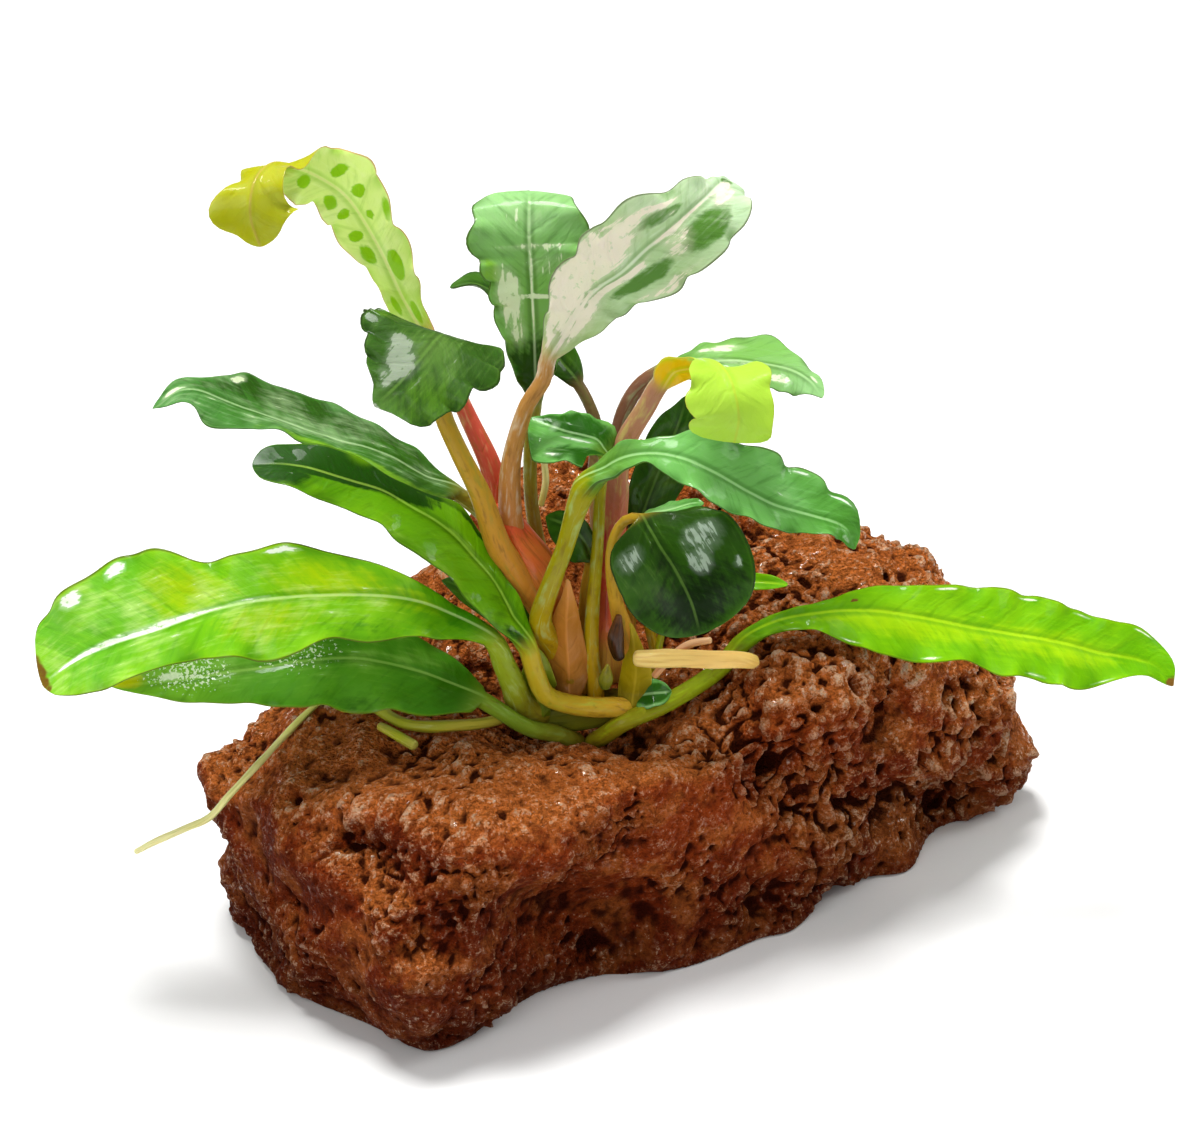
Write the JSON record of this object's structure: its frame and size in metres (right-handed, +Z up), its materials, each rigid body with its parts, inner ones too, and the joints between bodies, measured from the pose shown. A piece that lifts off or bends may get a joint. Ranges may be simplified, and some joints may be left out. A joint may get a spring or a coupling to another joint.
{
  "type": "bucephalandra on stone",
  "caption": "Small aquarium plant with wavy glossy leaves, stalks and trailing roots, grown onto a block of porous red-brown lava stone.",
  "frame": {"origin": "on the flat underside of the stone, near its middle", "axes": "+X along the stone's length to the end with the long right leaf, +Y to the stone's back ridge, +Z up"},
  "size_m": [0.1159, 0.0605, 0.089],
  "materials": {
    "lava_stone": "wet porous lava",
    "leaf_bright": "wet glossy leaf, light green",
    "leaf_dark": "wet glossy leaf, dark green",
    "leaf_yellow": "wet glossy leaf, yellow-green",
    "stem": "smooth fleshy stem, orange-brown",
    "old_sheath": "dry fibrous sheath",
    "root": "pale fleshy root"
  },
  "bodies": {
    "root": {"lava_stone": "lava_stone", "rhizome": "stem", "left_shoot": "stem", "right_shoot": "stem", "new_bud": "stem", "old_sheath": "old_sheath", "right_root": "root", "pink_root": "root", "left_root": "root", "left_root_branch": "root", "hanging_root": "root", "back_root": "root", "long_left_leaf": "leaf_bright", "lower_left_leaf": "leaf_bright", "upper_left_leaf": "leaf_dark", "middle_left_leaf": "leaf_bright", "curled_tip_leaf": "leaf_yellow", "hooded_leaf": "leaf_dark", "centre_leaf": "leaf_dark", "tall_right_leaf": "leaf_dark", "back_right_leaf": "leaf_dark", "folded_yellow_leaf": "leaf_yellow", "arching_right_leaf": "leaf_dark", "small_crown_leaf": "leaf_dark", "round_hanging_leaf": "leaf_dark", "long_right_leaf": "leaf_bright", "small_side_leaf": "leaf_dark", "twisted_dark_leaf": "leaf_dark", "back_centre_leaf": "leaf_dark", "inner_dark_leaf": "leaf_dark", "small_bright_leaf": "leaf_bright", "base_leaf": "leaf_bright", "hidden_left_leaf": "leaf_dark"}
  },
  "joints": []
}
